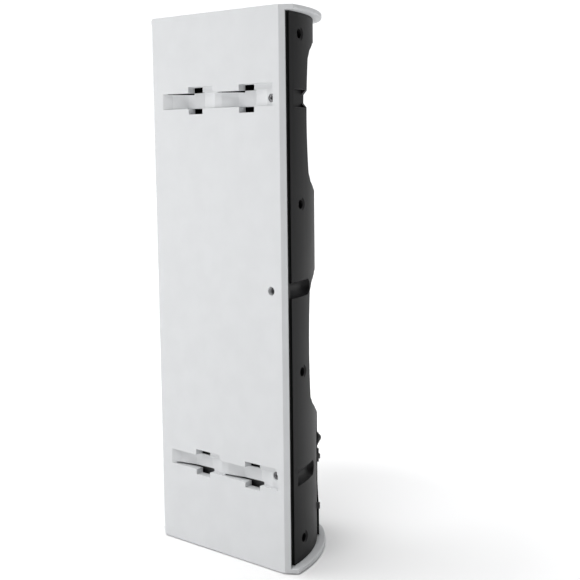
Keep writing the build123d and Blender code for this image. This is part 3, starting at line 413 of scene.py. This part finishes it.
def band(bm, r0, r1, low, high, start=0.0, stop=360.0, steps=48):
    """Flat ring, or part of one, with a rounded top, added to a bmesh."""
    soft = 0.00006
    side = high - soft
    section = [(r0, low), (r0, side), (r0 + soft, high), (r1 - soft, high), (r1, side), (r1, low)]
    whole = stop - start >= 359.9
    count = steps if whole else steps + 1
    loops = []
    for i in range(count):
        a = math.radians(start + (stop - start) * i / steps)
        loops.append([bm.verts.new((r * math.cos(a), r * math.sin(a), z)) for r, z in section])
    n = len(section)
    for i in range(count if whole else count - 1):
        near, far = loops[i], loops[(i + 1) % count]
        for k in range(n):
            m = (k + 1) % n
            bm.faces.new((near[k], far[k], far[m], near[m]))
    if not whole:
        bm.faces.new(loops[0])
        bm.faces.new(list(reversed(loops[-1])))


def backing(name, middle, floor_depth, material):
    """Curved mesh sheet close behind a grille."""
    sag = SCOOP_SIDE - floor_depth
    r = (SCOOP_HALF**2 + sag**2) / (2 * sag) + SHEET_BEHIND
    top = floor_depth - SHEET_BEHIND + r
    rows, columns = 24, 12
    bm = bmesh.new()
    sheet = []
    for thick in (0.0, SHEET_THICK):
        grid = []
        for i in range(rows + 1):
            rise = SHEET_HALF_Z * (2 * i / rows - 1)
            y = BACK_Y - (top - math.sqrt((r + thick) ** 2 - rise**2))
            across = [SHEET_HALF_X * (2 * j / columns - 1) for j in range(columns + 1)]
            grid.append([bm.verts.new((x, y, middle + rise)) for x in across])
        sheet.append(grid)
    front, rear = sheet
    for i in range(rows):
        for j in range(columns):
            for g in (front, rear):
                bm.faces.new((g[i][j], g[i][j + 1], g[i + 1][j + 1], g[i + 1][j]))
    for i in range(rows):
        for j in (0, columns):
            bm.faces.new((front[i][j], front[i + 1][j], rear[i + 1][j], rear[i][j]))
    for j in range(columns):
        for i in (0, rows):
            bm.faces.new((front[i][j], front[i][j + 1], rear[i][j + 1], rear[i][j]))
    piece(name, bm, material, "housing")


MESH = weave("speaker_weave", 0.02, 700.0)
FILTER = weave("dust_filter", 0.035, 420.0)
backing("speaker_mesh", 0.317, 0.0364, MESH)
backing("intake_filter", 0.155, 0.0374, FILTER)

# small raised marks on the controller and the power button
MARK = plastic("mark_grey", 0.16, (1, 1, 1.01), 0.5, 0.2, 2600.0, 0.0, mottle=0.04)


def action_dots():
    """One to four dots tell the action buttons apart."""
    swing = math.degrees(CLUSTER_PITCH / PAD_R)
    for name, angle, z, dots in (
        ("action_button_up", CONTROL_TURN, CLUSTER_Z + CLUSTER_PITCH, 1),
        ("action_button_down", CONTROL_TURN, CLUSTER_Z - CLUSTER_PITCH, 2),
        ("action_button_inner", CONTROL_TURN - swing, CLUSTER_Z, 3),
        ("action_button_outer", CONTROL_TURN + swing, CLUSTER_Z, 4),
    ):
        bm = bmesh.new()
        reach = 0.0 if dots == 1 else 0.0010
        for i in range(dots):
            a = 2 * math.pi * i / dots
            tile(bm, circle(reach * math.cos(a), reach * math.sin(a), 0.00042, 16), *ACTION_FACE)
        piece(name + "_dots", bm, MARK, name, nose_place(angle, z))


def small_button_marks():
    """A ring for home, three bars for the menu and two for pause."""
    bm = bmesh.new()
    band(bm, 0.0012, 0.0017, *SMALL_FACE)
    piece("home_button_ring", bm, MARK, "home_button", nose_place(0.0, HOME_Z))
    bm = bmesh.new()
    for i in (-1, 0, 1):
        tile(bm, bar(i * 0.0009, 0.0, 0.0002, 0.0011), *SMALL_FACE)
    piece("menu_button_bars", bm, MARK, "menu_button", nose_place(-SMALL_TURN, SMALL_Z))
    bm = bmesh.new()
    for i in (-1, 1):
        tile(bm, bar(0.0, i * 0.0006, 0.0011, 0.00025), *SMALL_FACE)
    piece("pause_button_bars", bm, MARK, "pause_button", nose_place(SMALL_TURN, SMALL_Z))


def dpad_arrows():
    tip = [(0.0047, 0.0), (0.0037, 0.0008), (0.0037, -0.0008)]
    bm = bmesh.new()
    for i in range(4):
        c, s = math.cos(math.pi / 2 * i), math.sin(math.pi / 2 * i)
        tile(bm, [(x * c - y * s, x * s + y * c) for x, y in tip], *DPAD_FACE)
    piece("dpad_arrows", bm, MARK, "dpad", nose_place(-CONTROL_TURN, DPAD_Z))


def nub_studs():
    """Grip studs in rings on the nub's slope."""
    foot, foot_r = 0.00185, 0.0057
    slope = 0.0037 / 0.0044
    bm = bmesh.new()
    for count, r in ((14, 0.0048), (10, 0.0035), (7, 0.0023)):
        height = foot + (foot_r - r) * slope
        for i in range(count):
            a = 2 * math.pi * (i + 0.5 * (count % 2)) / count
            spot = circle(r * math.cos(a), r * math.sin(a), 0.00028, 10)
            tile(bm, spot, height - 0.0003, height + 0.00022)
    piece("nub_studs", bm, NUB, "nub_cap", nose_place(-CONTROL_TURN, NUB_Z))


def power_symbol():
    place = Matrix.Translation((0, POWER_FACE_Y, POWER_Z)) @ Matrix.Rotation(math.radians(90), 4, "X")
    bm = bmesh.new()
    band(bm, 0.0024, 0.0030, *POWER_FACE, 125.0, 415.0, 40)
    tile(bm, bar(0.0, 0.00225, 0.0003, 0.00125), *POWER_FACE)
    piece("power_symbol", bm, MARK, "power_button", place)


def charge_lamps():
    """Row of three small lights under the menu and pause buttons."""
    lens = plastic("lamp_lens", 0.45, (0.9, 1.0, 0.96), 0.2, 0.05, 900.0, 0.0, mottle=0.05)
    for i in range(3):
        bm = bmesh.new()
        tile(bm, circle(0, 0, 0.0007, 18), -0.0002, 0.00022)
        piece("charge_lamp_%d" % (i + 1), bm, lens, "pad", nose_place(-5.0 + 5.0 * i, LAMP_Z))


action_dots()
small_button_marks()
dpad_arrows()
nub_studs()
power_symbol()
charge_lamps()


# ------------------------------------------------------------------ floor and light
def floor():
    """Pale floor with a painted shadow: its colour is darker close to the object."""
    me = bpy.data.meshes.new("floor")
    s = 6.0
    me.from_pydata([(-s, -s, 0), (s, -s, 0), (s, s, 0), (-s, s, 0)], [], [(0, 1, 2, 3)])
    o = bpy.data.objects.new("floor", me)
    scene.collection.objects.link(o)
    o.location.z = -0.0002
    m, t, bsdf = nodes_of("floor_paper_painted_shadow")
    reach = t.nodes.new("ShaderNodeVectorMath")
    reach.operation = "LENGTH"
    link(t, coordinates(t), reach.inputs[0])
    # painted shadow: the floor's colour darkens within about a third of a metre of the middle, where the
    # object stands
    paper_with_painted_shadow = ramp(t, reach.outputs["Value"], [(0.19, grey(0.86)), (0.34, grey(1.0))])
    speck = ramp(t, noise(t, 3.0), [(0.3, grey(0.985)), (0.7, grey(1.0))])
    link(t, mix(t, 1.0, paper_with_painted_shadow, speck, "MULTIPLY"), bsdf.inputs["Base Color"])
    bsdf.inputs["Roughness"].default_value = 0.9
    bsdf.inputs["Specular IOR Level"].default_value = 0.1
    bsdf.inputs["Emission Color"].default_value = (1, 1, 1, 1)
    bsdf.inputs["Emission Strength"].default_value = 0.055
    me.materials.append(m)


def area(name, at, towards, size, power):
    """Rectangular light that points at a spot."""
    data = bpy.data.lights.new(name, "AREA")
    data.shape = "RECTANGLE"
    data.size, data.size_y = size
    data.energy = power
    o = bpy.data.objects.new(name, data)
    scene.collection.objects.link(o)
    o.location = at
    o.rotation_euler = (Vector(towards) - Vector(at)).to_track_quat("-Z", "Y").to_euler()


def studio():
    """Pale surroundings that are dark on the camera's side, and plain white to the camera."""
    world = bpy.data.worlds.new("studio")
    scene.world = world
    world.use_nodes = True
    t = world.node_tree
    back = t.nodes["Background"]
    place = t.nodes.new("ShaderNodeTexCoord").outputs["Generated"]
    facing = t.nodes.new("ShaderNodeVectorMath")
    facing.operation = "DOT_PRODUCT"
    facing.inputs[1].default_value = (-0.78, 0.60, 0.0)
    link(t, place, facing.inputs[0])
    side = t.nodes.new("ShaderNodeMapRange")
    side.inputs["From Min"].default_value = -0.3
    side.inputs["From Max"].default_value = 0.75
    side.inputs["To Min"].default_value = 0.62
    side.inputs["To Max"].default_value = 0.0
    link(t, facing.outputs["Value"], side.inputs["Value"])
    rays = t.nodes.new("ShaderNodeLightPath")
    pick = t.nodes.new("ShaderNodeMix")
    pick.data_type = "FLOAT"
    link(t, rays.outputs["Is Camera Ray"], pick.inputs["Factor"])
    link(t, side.outputs["Result"], pick.inputs[2])
    pick.inputs[3].default_value = 1.1
    link(t, pick.outputs[0], back.inputs["Strength"])
    back.inputs["Color"].default_value = (0.985, 0.99, 1.0, 1)


def sky(name, towards, angle, strength):
    """Broad soft light from far away."""
    data = bpy.data.lights.new(name, "SUN")
    data.angle = angle
    data.energy = strength
    o = bpy.data.objects.new(name, data)
    scene.collection.objects.link(o)
    o.rotation_euler = Vector(towards).to_track_quat("Z", "Y").to_euler()


floor()
studio()
sky("key", (-0.35, 1.15, 2.05), 0.40, 0.95)
area("fill", (1.8, 0.8, 0.32), (0, 0, 0.12), (1.6, 0.6), 16.0)
sky("overhead", (0.22, 0.1, 1.0), 1.0, 1.65)
scene.view_settings.view_transform = "Standard"
